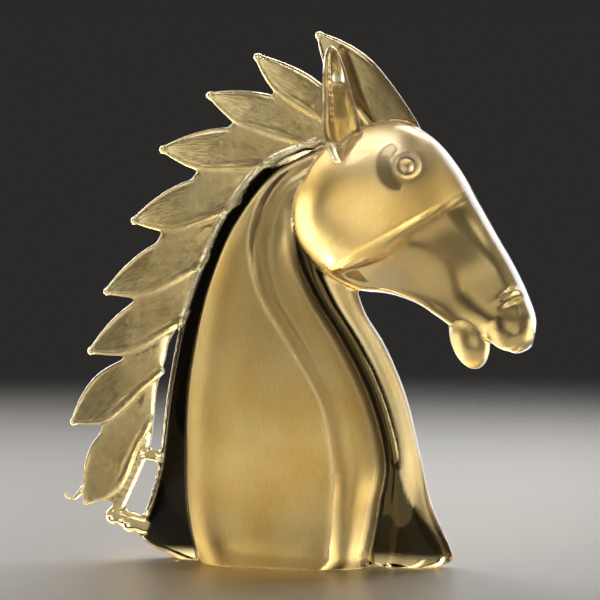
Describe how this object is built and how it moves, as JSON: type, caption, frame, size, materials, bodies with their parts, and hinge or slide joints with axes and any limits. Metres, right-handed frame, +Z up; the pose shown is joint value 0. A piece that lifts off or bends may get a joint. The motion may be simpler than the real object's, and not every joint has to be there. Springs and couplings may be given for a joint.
{
  "type": "crystal horse head sculpture",
  "caption": "Solid champagne crystal horse head bust with an arched neck, a leaf-shaped flowing mane, upright ears and a flat ground underside that it stands on.",
  "frame": {"origin": "middle of the bounding box at the level of the flat underside", "axes": "+Z up, +X towards the nose, +Y to the horse's left, XZ the mirror plane"},
  "size_m": [0.2434, 0.0604, 0.2648],
  "materials": {
    "champagne_crystal": "fire-polished clear glass with a champagne gold tint and fine tool marks"
  },
  "bodies": {
    "root": {"horse_head": "champagne_crystal"}
  },
  "joints": []
}
